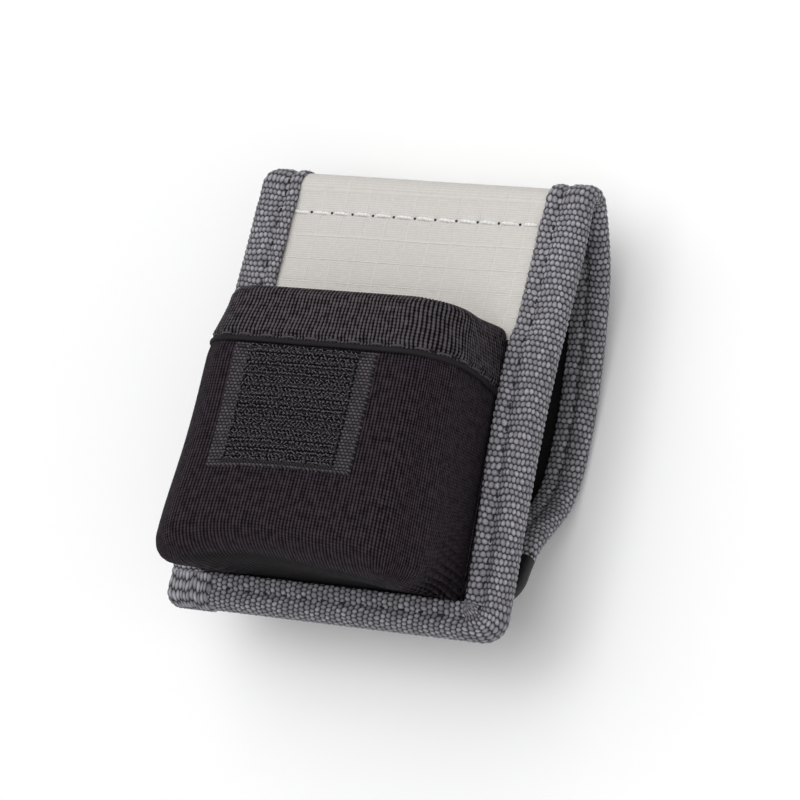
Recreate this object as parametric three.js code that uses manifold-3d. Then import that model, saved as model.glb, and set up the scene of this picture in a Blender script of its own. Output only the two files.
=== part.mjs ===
// Battery pouch: a stiffened back panel carries a boxed stretch pocket, and the panel's two fabrics run on
// above a stitch line as a bound closing flap. The flap is folded back over the crest and loops down behind
// the panel, so the pouch lies on the flat of that loop with its pocket facing up.
// Millimetres. X runs across, Y along the panel to its crest, Z out of the pocket's front.
import * as THREE from 'three';
import { mergeVertices } from 'three/addons/utils/BufferGeometryUtils.js';
import Module from 'manifold-3d';

const wasm = await Module();
wasm.setup();

const rad = THREE.MathUtils.degToRad;

// Driving dimensions: fabrics and tapes
const LINING = 0.4; // thickness of the ripstop lining
const OUTER = 0.5; // thickness of the outer cloth
const STIFFENER = 0.8; // thickness of the board inside the panel
const TAPE = 0.7; // thickness of the binding tape
const LEG = 7.8; // width of the side bindings on each face
const BOTTOM_LEG = 5.8; // width of the bottom binding on each face
const ROLL = 1.2; // depth of the rounding where the tape folds over an edge
const LAYER_GAP = 0.2; // air between layers that lie on each other
const EDGE_GAP = 0.35; // air between a sheet's edge and the fold of its binding
const CREASE_GAP = 0.4; // slit where the flap creases

// Driving dimensions: panel
const WIDTH = 62; // over the bindings
const PANEL_LENGTH = 69.5; // bottom edge to the crease at the stitch line
const CORNER_RADIUS = 4; // bottom corners of the binding
const MITRE = 0.4; // rounding of the binding's inner corners
const STIFFENER_MARGIN = 1.5; // stiffener edge to the sheets' edge
const LAP_WIDTH = 8.5; // tape end lapped over the bottom left corner
const LAP_LEG = 6;

// Driving dimensions: pocket
const POCKET_EDGE = 0.5; // side binding to the pocket's side wall
const POCKET_SEAM = 0.4; // bottom binding to the pocket's bottom wall
const POCKET_DEPTH = 22.6; // panel's middle to the pocket's front
const POCKET_MOUTH = 48.6; // bottom edge to the mouth
const POCKET_WALL = 2; // stretch cloth on foam
const POCKET_CORNER = 5; // rounding of the upright edges
const POCKET_BOTTOM_ROLL = 4; // rounding of the lower edges
const MOUTH_TAPER = 0.7; // how far each side wall leans in at the mouth
const FLANGE = 0.8; // pressed edge of the pocket under the binding
const ELASTIC = 0.8; // thickness of the mouth elastic
const ELASTIC_BAND = 9; // height of the mouth elastic

// Driving dimensions: hook patch
const PATCH_WIDTH = 26;
const PATCH_LENGTH = 20;
const PATCH_TOP_GAP = 0.6; // below the mouth elastic
const PATCH_TAPE = 0.6;
const SELVEDGE = 2.8; // plain woven edge on each side
const HOOK_BED = 0.4;
const HOOK_HEIGHT = 0.9;
const HOOK_PITCH = 1.45;
const HOOK_LENGTH = 0.8; // along the pitch

// Driving dimensions: flap, as runs of its middle surface
const CROWN_LENGTH = 3;
const FOLD_RADIUS = 2.4;
const FOLD_TURN = 140;
const SPINE_LENGTH = 14.5;
const SPINE_TURN = 16;
const SWEEP_LENGTH = 22;
const FLAT_LENGTH = 9.6; // the stretch that the pouch lies on
const BEND_RADIUS = 9;
const BEND_TURN = 46;
const CURL_LENGTH = 14;
const CURL_TURN = -46; // the end turns back along the panel
const TIP_GAP = 0.4; // flap end to the panel's back binding
const END_TAPE = 0.9; // loop tape folded over the flap's end
const END_TAPE_LEG = 8.5;

// Levels across the flap, from its middle surface to each face
const SHEET_INNER = LAYER_GAP / 2;
const LINING_FACE = SHEET_INNER + LINING;
const OUTER_FACE = SHEET_INNER + OUTER;
const LIGHT_SIDE = LINING_FACE + LAYER_GAP + TAPE;
const DARK_SIDE = OUTER_FACE + LAYER_GAP + TAPE;

// Levels across the panel, from its middle surface
const PANEL_INNER = STIFFENER / 2 + LAYER_GAP;
const PANEL_LINING_FACE = PANEL_INNER + LINING;
const PANEL_OUTER_FACE = PANEL_INNER + OUTER;
const FLANGE_BACK = PANEL_LINING_FACE + LAYER_GAP;
const FLANGE_FACE = FLANGE_BACK + FLANGE;
const BINDING_LOW = PANEL_LINING_FACE + LAYER_GAP + TAPE;
const BINDING_HIGH = FLANGE_FACE + LAYER_GAP + TAPE;
const BINDING_BACK = PANEL_OUTER_FACE + LAYER_GAP + TAPE;

const HALF = WIDTH / 2;
const SHEET_INSET = TAPE + EDGE_GAP;
const SHEET_HALF = HALF - SHEET_INSET;
const POCKET_WIDTH = WIDTH - 2 * (LEG + POCKET_EDGE); // over the side walls
const POCKET_BOTTOM = BOTTOM_LEG + POCKET_SEAM; // bottom edge to the pocket's bottom wall
const MAX_STEP = 12; // degrees of turn between two stations
const ROUND_STEPS = 4; // facets on a quarter turn

const colours = {
  ripstop: [0xd3cfc9, 0.7],
  cloth: [0x1b1a1c, 0.8],
  board: [0x8a8a86, 0.6],
  binding: [0x5b5c62, 0.85],
  stretch: [0x19171a, 0.8],
  elastic: [0x141416, 0.75],
  hook: [0x202022, 0.6],
};

const pouch = new THREE.Group();

function addPiece(name, geometry, finish) {
  const [color, roughness] = colours[finish];
  const mesh = new THREE.Mesh(geometry, new THREE.MeshStandardMaterial({ color, roughness, metalness: 0 }));
  mesh.name = name;
  pouch.add(mesh);
}

// Solids from rings, and their joins and cuts

function signedVolume(position, index) {
  const a = new THREE.Vector3();
  const b = new THREE.Vector3();
  const c = new THREE.Vector3();
  let sum = 0;
  for (let i = 0; i < index.length; i += 3) {
    a.fromBufferAttribute(position, index[i]);
    b.fromBufferAttribute(position, index[i + 1]);
    c.fromBufferAttribute(position, index[i + 2]);
    sum += a.dot(b.cross(c)) / 6;
  }
  return sum;
}

// A closed body through rings of points; section is the ring's flat outline, for the two end caps
function loft(rings, section) {
  const count = section.length;
  const index = [];
  for (let r = 0; r + 1 < rings.length; r += 1) {
    for (let k = 0; k < count; k += 1) {
      const next = (k + 1) % count;
      const near = r * count;
      const far = near + count;
      index.push(near + k, near + next, far + next, near + k, far + next, far + k);
    }
  }
  const outline = section.map(([p, q]) => new THREE.Vector2(p, q));
  const lastRing = (rings.length - 1) * count;
  const clockwise = THREE.ShapeUtils.isClockWise(outline);
  for (const [i, j, k] of THREE.ShapeUtils.triangulateShape(outline, [])) {
    const start = clockwise ? [i, j, k] : [k, j, i];
    index.push(...start);
    index.push(...start.toReversed().map((corner) => lastRing + corner));
  }
  const geometry = new THREE.BufferGeometry();
  const points = rings.flat();
  geometry.setAttribute('position', new THREE.Float32BufferAttribute(points.flatMap((p) => p.toArray()), 3));
  const outward = signedVolume(geometry.getAttribute('position'), index) > 0;
  geometry.setIndex(outward ? index : index.toReversed());
  return geometry;
}

function solidOf(geometry) {
  const bare = geometry.clone();
  bare.deleteAttribute('normal');
  bare.deleteAttribute('uv');
  const merged = mergeVertices(bare, 1e-4);
  return new wasm.Manifold(new wasm.Mesh({
    numProp: 3,
    vertProperties: new Float32Array(merged.getAttribute('position').array),
    triVerts: new Uint32Array(merged.index.array),
  }));
}

function geometryOf(solid) {
  const mesh = solid.getMesh();
  const geometry = new THREE.BufferGeometry();
  geometry.setAttribute('position', new THREE.BufferAttribute(mesh.vertProperties, 3));
  geometry.setIndex(new THREE.BufferAttribute(mesh.triVerts, 1));
  return geometry;
}

// Flat plate in the panel's plane between two levels
function plate(shape, low, high) {
  const options = { depth: high - low, bevelEnabled: false, curveSegments: ROUND_STEPS };
  return new THREE.ExtrudeGeometry(shape, options).translate(0, 0, low);
}

// Side path of the flap

const SWEEP_TURN = 180 - FOLD_TURN - SPINE_TURN;
const foldLength = FOLD_RADIUS * rad(FOLD_TURN);
const bendLength = BEND_RADIUS * rad(BEND_TURN);
const stripRuns = {
  crown: [{ length: CROWN_LENGTH, turn: 0 }],
  fold: [{ length: foldLength / 2, turn: FOLD_TURN / 2 }],
  ridge: [{ length: foldLength / 2, turn: FOLD_TURN / 2 }],
  spine: [{ length: SPINE_LENGTH, turn: SPINE_TURN }],
  flap: [
    { length: SWEEP_LENGTH, turn: SWEEP_TURN },
    { length: FLAT_LENGTH, turn: 0 },
    { length: bendLength / 2, turn: BEND_TURN / 2 },
  ],
  tip: [{ length: bendLength / 2, turn: BEND_TURN / 2 }],
};

// Place on a run after a share of its length: y, z and heading, turning clockwise seen from +X
function poseOn(run, share) {
  const turned = rad(run.turn) * share;
  const heading = run.heading - turned;
  const chordHeading = run.heading - turned / 2;
  const arc = run.length * share;
  const chord = turned === 0 ? arc : (arc * Math.sin(turned / 2)) / (turned / 2);
  return {
    y: run.y + chord * Math.cos(chordHeading),
    z: run.z + chord * Math.sin(chordHeading),
    heading,
  };
}

let walker = { y: PANEL_LENGTH, z: 0, heading: 0 };
function layRun(run) {
  Object.assign(run, walker);
  walker = poseOn(run, 1);
}
Object.values(stripRuns).flat().forEach(layRun);

// The tip falls straight towards the panel's back, then curls along it and stops short of its binding
const curlRun = { length: CURL_LENGTH, turn: CURL_TURN };
const curlDrop = poseOn({ ...curlRun, y: 0, z: 0, heading: walker.heading }, 1).z;
const tipDepth = BINDING_BACK + TIP_GAP + OUTER_FACE + LAYER_GAP + END_TAPE;
const fallLength = (-tipDepth - curlDrop - walker.z) / Math.sin(walker.heading);
const fallRun = { length: fallLength, turn: 0 };
[fallRun, curlRun].forEach(layRun);
stripRuns.tip.push(fallRun, curlRun);

// Stations along a list of runs, with a length left off at each end
function stationsOn(runs, startTrim, endTrim) {
  const stations = [];
  const total = runs.reduce((sum, run) => sum + run.length, 0);
  let passed = 0;
  for (const run of runs) {
    const from = Math.max(0, startTrim - passed);
    const to = Math.min(run.length, total - endTrim - passed);
    passed += run.length;
    if (to - from < 1e-6) {
      continue;
    }
    const steps = Math.max(1, Math.ceil((Math.abs(run.turn) * (to - from)) / run.length / MAX_STEP));
    for (let i = stations.length ? 1 : 0; i <= steps; i += 1) {
      stations.push(poseOn(run, (from + ((to - from) * i) / steps) / run.length));
    }
  }
  return stations;
}

// A point of a strip: x across, and height towards the light face
function stripPoint(station, x, height) {
  const y = station.y - height * Math.sin(station.heading);
  const z = station.z + height * Math.cos(station.heading);
  return new THREE.Vector3(x, y, z);
}

function strip(stations, section) {
  return loft(stations.map((station) => section.map(([x, height]) => stripPoint(station, x, height))), section);
}

// Binding tape folded round an edge: distance in from the edge, and height between the two faces
function boundEdge(leg, front, back) {
  const middle = (front - back) / 2;
  const half = (front + back) / 2;
  const points = [
    [ROLL, -back],
    [leg, -back],
    [leg, TAPE - back],
    [TAPE, TAPE - back],
    [TAPE, front - TAPE],
    [leg, front - TAPE],
    [leg, front],
    [ROLL, front],
  ];
  for (let i = 1; i < ROUND_STEPS; i += 1) {
    const angle = (Math.PI * i) / ROUND_STEPS;
    points.push([ROLL * (1 - Math.sin(angle)), middle + half * Math.cos(angle)]);
  }
  return points;
}

const flapBinding = boundEdge(LEG, LIGHT_SIDE, DARK_SIDE);

function sheetSection(low, high) {
  return [[-SHEET_HALF, low], [SHEET_HALF, low], [SHEET_HALF, high], [-SHEET_HALF, high]];
}

// Panel

function panelSheet(inset, top) {
  const half = HALF - inset;
  const radius = Math.max(CORNER_RADIUS - inset, 0.5);
  const shape = new THREE.Shape();
  shape.moveTo(half, top);
  shape.lineTo(-half, top);
  shape.lineTo(-half, inset + radius);
  shape.absarc(-half + radius, inset + radius, radius, Math.PI, 1.5 * Math.PI);
  shape.lineTo(half - radius, inset);
  shape.absarc(half - radius, inset + radius, radius, 1.5 * Math.PI, 2 * Math.PI);
  return shape;
}

// Binding round the panel's left, bottom and right edges, with a step over the pocket's pressed edge
function panelBinding() {
  const top = PANEL_LENGTH - CREASE_GAP / 2;
  const fanX = HALF - LEG - MITRE;
  const fanY = BOTTOM_LEG + MITRE;
  const step = BINDING_HIGH - BINDING_LOW;
  const side = [
    { y: top, front: BINDING_LOW },
    { y: POCKET_MOUTH + 2 * step, front: BINDING_LOW },
    { y: POCKET_MOUTH + step, front: BINDING_HIGH },
    { y: fanY, front: BINDING_HIGH },
  ];
  const half = side.map(({ y, front }) => ({ x: HALF, y, inwardX: -1, inwardY: 0, leg: LEG, front }));
  for (let i = 0; i <= ROUND_STEPS; i += 1) {
    const angle = (Math.PI / 2) * (i / ROUND_STEPS);
    const x = HALF - CORNER_RADIUS + CORNER_RADIUS * Math.cos(angle);
    const y = CORNER_RADIUS - CORNER_RADIUS * Math.sin(angle);
    const toFan = new THREE.Vector2(fanX - x, fanY - y);
    const leg = toFan.length() - MITRE;
    toFan.normalize();
    half.push({ x, y, inwardX: toFan.x, inwardY: toFan.y, leg, front: BINDING_HIGH });
  }
  half.push({ x: fanX, y: 0, inwardX: 0, inwardY: 1, leg: BOTTOM_LEG, front: BINDING_HIGH });
  const mirrored = half.toReversed().map((s) => ({ ...s, x: -s.x, inwardX: -s.inwardX }));
  const stations = [...half, ...mirrored];
  const rings = stations.map((s) => boundEdge(s.leg, s.front, BINDING_BACK).map(
    ([inward, height]) => new THREE.Vector3(s.x + s.inwardX * inward, s.y + s.inwardY * inward, height),
  ));
  return loft(rings, boundEdge(LEG, BINDING_LOW, BINDING_BACK));
}

// End of the binding tape, turned over the bottom left corner
function bindingEndLap() {
  const wrap = LAYER_GAP + TAPE;
  const section = boundEdge(LAP_LEG, BINDING_HIGH + wrap, BINDING_BACK + wrap);
  const ring = (x) => section.map(([inward, height]) => new THREE.Vector3(x, inward - wrap, height));
  return loft([ring(-HALF), ring(LAP_WIDTH - HALF)], section);
}

// Pocket

const MOUTH_RUN = POCKET_MOUTH - POCKET_BOTTOM;

// Outline of the pocket across X and Z at one height, grown by an offset, standing on a level
function pocketOutline(y, offset, inset, foot) {
  const lean = (MOUTH_TAPER * Math.max(0, y - POCKET_BOTTOM)) / MOUTH_RUN;
  const half = POCKET_WIDTH / 2 - lean + offset - inset;
  const front = POCKET_DEPTH + offset - inset;
  const radius = POCKET_CORNER + offset;
  const points = [[-half, foot]];
  for (const side of [-1, 1]) {
    for (let i = 0; i <= ROUND_STEPS; i += 1) {
      const quarter = (Math.PI / 2) * (side < 0 ? 1 - i / ROUND_STEPS : i / ROUND_STEPS);
      const x = side * (half - radius + radius * Math.sin(quarter));
      points.push([x, front - radius + radius * Math.cos(quarter)]);
    }
  }
  points.push([half, foot]);
  return points;
}

function pocketBlock(levels, offset, foot) {
  const rings = levels.map(({ y, inset }) => pocketOutline(y, offset, inset, foot).map(
    ([x, z]) => new THREE.Vector3(x, y, z),
  ));
  return solidOf(loft(rings, pocketOutline(levels[0].y, offset, levels[0].inset, foot)));
}

// Heights from a rolled bottom edge up to a level top
function rolledLevels(bottom, roll, top) {
  const levels = [];
  for (let i = 0; i <= ROUND_STEPS; i += 1) {
    const angle = (Math.PI / 2) * (i / ROUND_STEPS);
    levels.push({ y: bottom + roll * (1 - Math.cos(angle)), inset: roll * (1 - Math.sin(angle)) });
  }
  levels.push({ y: top, inset: 0 });
  return levels;
}

function straightLevels(bottom, top) {
  return [{ y: bottom, inset: 0 }, { y: top, inset: 0 }];
}

// Pressed edge of the pocket, sewn in under the binding on three sides
function pocketFlange() {
  const shape = panelSheet(SHEET_INSET, POCKET_MOUTH);
  const inner = POCKET_WIDTH / 2 - POCKET_WALL;
  const floor = POCKET_BOTTOM + POCKET_WALL;
  const window = new THREE.Path();
  window.moveTo(-inner, floor);
  window.lineTo(inner, floor);
  window.lineTo(inner, POCKET_MOUTH - POCKET_WALL);
  window.lineTo(-inner, POCKET_MOUTH - POCKET_WALL);
  shape.holes.push(window);
  return solidOf(plate(shape, FLANGE_BACK, FLANGE_FACE));
}

function pocketShell() {
  const beyond = POCKET_MOUTH + POCKET_WALL;
  const roll = Math.max(POCKET_BOTTOM_ROLL - POCKET_WALL, LAYER_GAP);
  const outside = pocketBlock(rolledLevels(POCKET_BOTTOM, POCKET_BOTTOM_ROLL, POCKET_MOUTH), 0, FLANGE_BACK);
  const hollowLevels = rolledLevels(POCKET_BOTTOM + POCKET_WALL, roll, beyond);
  const hollow = pocketBlock(hollowLevels, -POCKET_WALL, -POCKET_WALL);
  return geometryOf(outside.add(pocketFlange()).subtract(hollow));
}

// Elastic folded over the pocket's mouth
function mouthElastic() {
  const foot = BINDING_HIGH + LAYER_GAP;
  const low = POCKET_MOUTH - ELASTIC_BAND;
  const seat = POCKET_MOUTH + LAYER_GAP;
  const high = seat + ELASTIC;
  const under = low - POCKET_WALL;
  const over = high + POCKET_WALL;
  const below = foot - POCKET_WALL;
  const reach = LAYER_GAP + ELASTIC;
  const outside = pocketBlock(straightLevels(low, high), reach, foot);
  const inside = pocketBlock(straightLevels(under, over), -POCKET_WALL - reach, below);
  const wallOutside = pocketBlock(straightLevels(under, seat), LAYER_GAP, below);
  const wallInside = pocketBlock(straightLevels(under - 1, seat + 1), -POCKET_WALL - LAYER_GAP, below - 1);
  return geometryOf(outside.subtract(inside).subtract(wallOutside.subtract(wallInside)));
}

// Hook patch on the pocket's front

const PATCH_TOP = POCKET_MOUTH - ELASTIC_BAND - PATCH_TOP_GAP;
const PATCH_BACK = POCKET_DEPTH + LAYER_GAP;
const PATCH_FACE = PATCH_BACK + PATCH_TAPE;

function patchTape() {
  const size = [PATCH_WIDTH, PATCH_LENGTH, PATCH_TAPE];
  return new THREE.BoxGeometry(...size).translate(0, PATCH_TOP - PATCH_LENGTH / 2, PATCH_BACK + PATCH_TAPE / 2);
}

// Bed of hooks: rows that stand on one woven bed
function hookField() {
  const width = PATCH_WIDTH - 2 * SELVEDGE;
  const base = PATCH_FACE + LAYER_GAP;
  const bed = base + HOOK_BED;
  const rows = Math.floor(PATCH_LENGTH / HOOK_PITCH);
  const margin = (PATCH_LENGTH - (rows - 1) * HOOK_PITCH) / 2;
  const bottom = PATCH_TOP - PATCH_LENGTH;
  const outline = [[bottom, base]];
  outline.push([bottom, bed]);
  for (let row = 0; row < rows; row += 1) {
    const middle = bottom + margin + row * HOOK_PITCH;
    outline.push([middle - HOOK_LENGTH / 2, bed]);
    outline.push([middle - HOOK_LENGTH / 4, bed + HOOK_HEIGHT]);
    outline.push([middle + HOOK_LENGTH / 4, bed + HOOK_HEIGHT]);
    outline.push([middle + HOOK_LENGTH / 2, bed]);
  }
  outline.push([PATCH_TOP, bed]);
  outline.push([PATCH_TOP, base]);
  const ring = (x) => outline.map(([y, z]) => new THREE.Vector3(x, y, z));
  return loft([ring(-width / 2), ring(width / 2)], outline);
}

// Loop tape folded over the flap's end, on both faces
function endTape() {
  const total = stripRuns.tip.reduce((sum, run) => sum + run.length, 0);
  const outerStations = stationsOn(stripRuns.tip, total - END_TAPE_LEG, 0);
  const innerStations = stationsOn(stripRuns.tip, total - END_TAPE_LEG, END_TAPE);
  const light = LINING_FACE + LAYER_GAP;
  const dark = OUTER_FACE + LAYER_GAP;
  const along = (stations, height) => stations.map((station) => stripPoint(station, 0, height));
  const points = [
    ...along(outerStations, light + END_TAPE),
    ...along(outerStations.toReversed(), -dark - END_TAPE),
    ...along(innerStations, -dark),
    ...along(innerStations.toReversed(), light),
  ];
  const ring = (x) => points.map((p) => new THREE.Vector3(x, p.y, p.z));
  return loft([ring(-HALF), ring(HALF)], points.map((p) => [p.y, p.z]));
}

// Flap strips: lining, outer cloth and both bindings of one stretch
function addStretch(name, endTrim, bindingEndTrim) {
  const runs = stripRuns[name];
  const sheets = stationsOn(runs, CREASE_GAP / 2, endTrim);
  const bound = stationsOn(runs, CREASE_GAP / 2, bindingEndTrim);
  addPiece(`${name}_lining`, strip(sheets, sheetSection(SHEET_INNER, LINING_FACE)), 'ripstop');
  addPiece(`${name}_outer`, strip(sheets, sheetSection(-OUTER_FACE, -SHEET_INNER)), 'cloth');
  const left = flapBinding.map(([inward, height]) => [inward - HALF, height]);
  const right = flapBinding.map(([inward, height]) => [HALF - inward, height]);
  addPiece(`${name}_binding_left`, strip(bound, left), 'binding');
  addPiece(`${name}_binding_right`, strip(bound, right), 'binding');
}

const panelTop = PANEL_LENGTH - CREASE_GAP / 2;
const stiffenerInset = SHEET_INSET + STIFFENER_MARGIN;
const panelOutline = panelSheet(SHEET_INSET, panelTop);
const boardOutline = panelSheet(stiffenerInset, panelTop - STIFFENER_MARGIN);
addPiece('panel_lining', plate(panelOutline, PANEL_INNER, PANEL_LINING_FACE), 'ripstop');
addPiece('panel_stiffener', plate(boardOutline, -STIFFENER / 2, STIFFENER / 2), 'board');
addPiece('panel_outer', plate(panelOutline, -PANEL_OUTER_FACE, -PANEL_INNER), 'cloth');
addPiece('panel_binding', panelBinding(), 'binding');
addPiece('binding_end_lap', bindingEndLap(), 'binding');
addPiece('pocket_shell', pocketShell(), 'stretch');
addPiece('mouth_elastic', mouthElastic(), 'elastic');
addPiece('hook_patch_tape', patchTape(), 'elastic');
addPiece('hook_field', hookField(), 'hook');
for (const name of ['crown', 'fold', 'ridge', 'spine', 'flap']) {
  addStretch(name, CREASE_GAP / 2, CREASE_GAP / 2);
}
addStretch('tip', END_TAPE + EDGE_GAP, END_TAPE_LEG + EDGE_GAP);
addPiece('end_tape', endTape(), 'elastic');

// The origin is below the middle of the whole object, on the surface that it lies on
const box = new THREE.Box3().setFromObject(pouch);
const centre = box.getCenter(new THREE.Vector3());
pouch.position.set(-centre.x, -centre.y, -box.min.z);

// Hinge lines along X, as places in Y and Z: creases turn about the light face, and the two halves of the
// fold about the poles that lay their arcs out flat
const creaseAt = (run) => stripPoint(poseOn(run, 0), 0, LIGHT_SIDE + LAYER_GAP / 2);
function layOutPole(run) {
  const bent = poseOn(run, 1);
  const laid = poseOn({ ...run, turn: 0 }, 1);
  const shift = 0.5 / Math.tan(rad(run.turn) / 2);
  const y = (bent.y + laid.y) / 2 - shift * (laid.z - bent.z);
  const z = (bent.z + laid.z) / 2 + shift * (laid.y - bent.y);
  return new THREE.Vector3(0, y, z);
}
const hinges = {
  crown: new THREE.Vector3(0, PANEL_LENGTH, BINDING_LOW + LAYER_GAP / 2),
  fold: layOutPole(stripRuns.fold[0]),
  ridge: layOutPole(stripRuns.ridge[0]),
  knee: creaseAt(stripRuns.flap[0]),
  tip: creaseAt(stripRuns.tip[0]),
};
for (const [name, place] of Object.entries(hinges)) {
  pouch.userData[`${name}_hinge`] = place.add(pouch.position).toArray();
}

export default pouch;
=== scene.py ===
import math
import bpy
import numpy as np
from mathutils import Matrix, Vector


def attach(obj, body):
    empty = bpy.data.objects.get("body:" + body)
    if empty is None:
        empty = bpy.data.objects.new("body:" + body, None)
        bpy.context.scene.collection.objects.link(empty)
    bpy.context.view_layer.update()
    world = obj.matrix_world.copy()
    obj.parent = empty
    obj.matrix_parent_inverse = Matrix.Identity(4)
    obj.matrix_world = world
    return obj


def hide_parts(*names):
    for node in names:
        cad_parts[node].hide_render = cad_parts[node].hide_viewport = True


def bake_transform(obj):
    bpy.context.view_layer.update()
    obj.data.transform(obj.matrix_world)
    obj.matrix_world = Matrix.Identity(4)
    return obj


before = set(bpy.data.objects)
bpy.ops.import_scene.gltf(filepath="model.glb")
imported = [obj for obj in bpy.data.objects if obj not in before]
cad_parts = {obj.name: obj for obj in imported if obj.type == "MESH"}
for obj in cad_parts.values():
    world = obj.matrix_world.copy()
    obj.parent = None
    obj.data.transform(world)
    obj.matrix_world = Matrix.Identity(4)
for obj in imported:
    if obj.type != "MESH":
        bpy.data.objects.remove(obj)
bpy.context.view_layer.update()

# Sizes in millimetres, as in the CAD model
MM = 0.001
HALF = 31.0
PANEL = 69.5
CROWN = 3.0
FOLD_RADIUS, FOLD_TURN = 2.4, 140.0
SPINE, SPINE_TURN = 14.5, 16.0
SWEEP, SWEEP_TURN = 22.0, 24.0
FLAT = 9.6
BEND_RADIUS, BEND_TURN = 9.0, 46.0
CURL, CURL_TURN = 14.0, -46.0
TIP_DEPTH = 4.1
LEG, BOTTOM_LEG = 7.8, 5.8
CORNER = 4.0
END_LEG = 8.5
PANEL_Y, PANEL_Z = -37.693, 17.838

# Side path of panel and flap: step, and runs added at its start and end
PATH_STEP, LEAD, TAIL = 0.02, 4.0, 3.0
CURL_PARTS = 200

# Bow of the panel, and drift of the flap to the left
BOW, BOW_MIDDLE = 1.6, 35.0
FLAP_DRIFT, DRIFT_RUN = 0.8, 55.0

# Levels on panel and flap above the middle surface, and start and run of the step between
LINING_LEVELS, OUTER_LEVELS, CLOTH_STEP = (1.0, 0.5), (-1.1, -0.6), (67.6, 3.4)
FRONT_LEVELS, BACK_LEVELS, TAPE_DROP = (1.9, 1.4), (-2.0, -1.5), (67.4, 3.6)
OVER_POCKET, POCKET_DROP = 1.0, (47.5, 4.5)
END_LIGHT, END_DARK = 1.05, -1.15

# Cloths and board
CLOTH_HALF, CLOTH_LOW, CLOTH_SHORT = HALF - 1.4, 1.2, 0.4
CLOTH_STEPS = (0.7, 0.35)
CREASE_REACH, KNEE_REACH = 2.5, 5.0
STITCH_S = 68.4
SEAM_SINK, SEAM_REACH = 0.38, 0.75
WAVE_RISE, WAVE_LENGTH, WAVE_REACH = 0.17, 4.0, 3.6
DRAPE_RISE, DRAPE_FROM, DRAPE_RUN = 0.16, 50, 12
CREST_RISE, CREST_LEAN, CREST_REACH, CREST_EDGE = 0.36, 0.8, 3.4, 1.5
BOARD_HALF, BOARD_LOW, BOARD_HIGH, BOARD_LEVEL = 28.4, 2.6, 67.6, 0.4

# Binding tape
TAPE_STEP, LINE_STEP = 0.17, 0.02
LEG_POINTS, ROLL_POINTS, CORNER_POINTS = 40, 25, 300
ROLL_ACROSS = 1.5
TAPE_LIP, LIP_SETBACK = np.array([(0.02, 0.62), (-0.02, 0.30), (0.06, 0.08)]), 0.25
TAPE_CROWN = 0.12
STITCH_IN, THREAD_RISE = 2.5, 0.12
GROOVE_DEPTH, GROOVE_WIDTH = (0.5, 0.45), (0.6, 0.4)
GROOVE_LOW, GROOVE_RIGHT = (16.0, 30.0), (22.0, 8.0)
RIGHT_NARROW, NARROW_LOW = 1.1, (8.0, 38.0)
FLAP_BACK_LEG, BACK_LEG_RUN = 6.0, 5.0
TAPE_LOW = 2.0
TAPE_PAST_END = 0.8
LAP_SQUEEZE, LAP_STRETCH = 1.3, 0.5

# Tape over the flap's end, whose corners are rounded
END_ROUND, END_PAST = 5.6, 0.9
END_ROLL_AT, END_ROLL = 0.1, 1.0
END_SIDE, END_SEAM = 0.3, 1.6

# Pocket
POCKET_HALF, POCKET_FRONT = 22.7, 22.6
POCKET_BOTTOM, POCKET_MOUTH = 6.2, 48.6
POCKET_WALL, POCKET_BASE = 2.0, 1.0
POCKET_ROUND, ROUND_FROM, ROUND_RUN = (6.6, 6.4, 5.0), 2.0, 9.0
POCKET_STEP = 0.25
SIDE_SWELL, FRONT_SWELL, SWELL_DEPTH = 0.4, 0.3, 21.6
SIDE_FULL, FRONT_FULL, FULL_AT = 1.3, 1.65, (9.0, 12.5)
SAG, CORNER_SAG, LEFT_SAG, SAG_FADE = 2.2, 4.2, 0.7, 11.0
FOOT_LIFT, FOOT_MIDDLE, FOOT_REACH = 1.6, -4.0, 11.0
# Painted shade under the pocket's foot: its middle, its edges across and along, and the share of the rib
# tone left there
FOOT_SHADE_MIDDLE, FOOT_SHADE_ACROSS, FOOT_SHADE_ALONG = 1.25, (15.0, 19.0), (2.0, 4.2)
FOOT_SHADE_LEFT = 0.15
GATHER, GATHER_FADE = 0.08, 4.5
PINCH, PINCH_FADE, PINCH_AT = 1.1, 5.0, (8.0, 6.5)
BOW_FADE = (3.0, 17.0)

# Pressed edge of the pocket under the binding
FLANGE_HALF, FLANGE_LOW, FLANGE_LEVEL = 26.0, 3.5, 1.3
FLANGE_LAP, FLANGE_STEP = 0.4, 1.0

# Mouth and its elastic, whose lip and hem go by distance out and height
MOUTH_TAPER, MOUTH_DRAWN, MOUTH_ROUND, MOUTH_BASE = 1.7, (37.0, 12.0), 7.6, 1.4
ELASTIC_LOW, ELASTIC_HIGH = 39.6, 47.7
ELASTIC_SPREAD, ELASTIC_MIDDLE, SPREAD_DEPTH = 0.17, 44.6, 11.0
ELASTIC_POINTS, THREAD_POINTS = 640, 400
ELASTIC_LIP = [(0.10, 0.2), (0.5, 0.0), (0.85, 0.15), (0.95, 0.45), (0.88, 0.75), (0.70, 1.0), (0.70, 1.3)]
ELASTIC_HEM = [(-2.3, 0.4), (-1.9, 0.5)]
ELASTIC_OUT, ELASTIC_IN, ELASTIC_TOP = 0.92, -2.75, (-0.9, 47.75, 1.85)
LIP_PATH, OUTER_PATH = 1.5, 12.0
KNIT_FROM, KNIT_RUN = 1.1, 0.6
RIB_RISE, LOOP_RISE, RIB_LEVEL = 0.19, 0.06, 0.11
SEWN_SINK, SEWN_AT, SEWN_REACH = 0.22, 1.5, 0.5
THREAD_OUT, THREAD_AT = 0.72, 1.25

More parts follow.
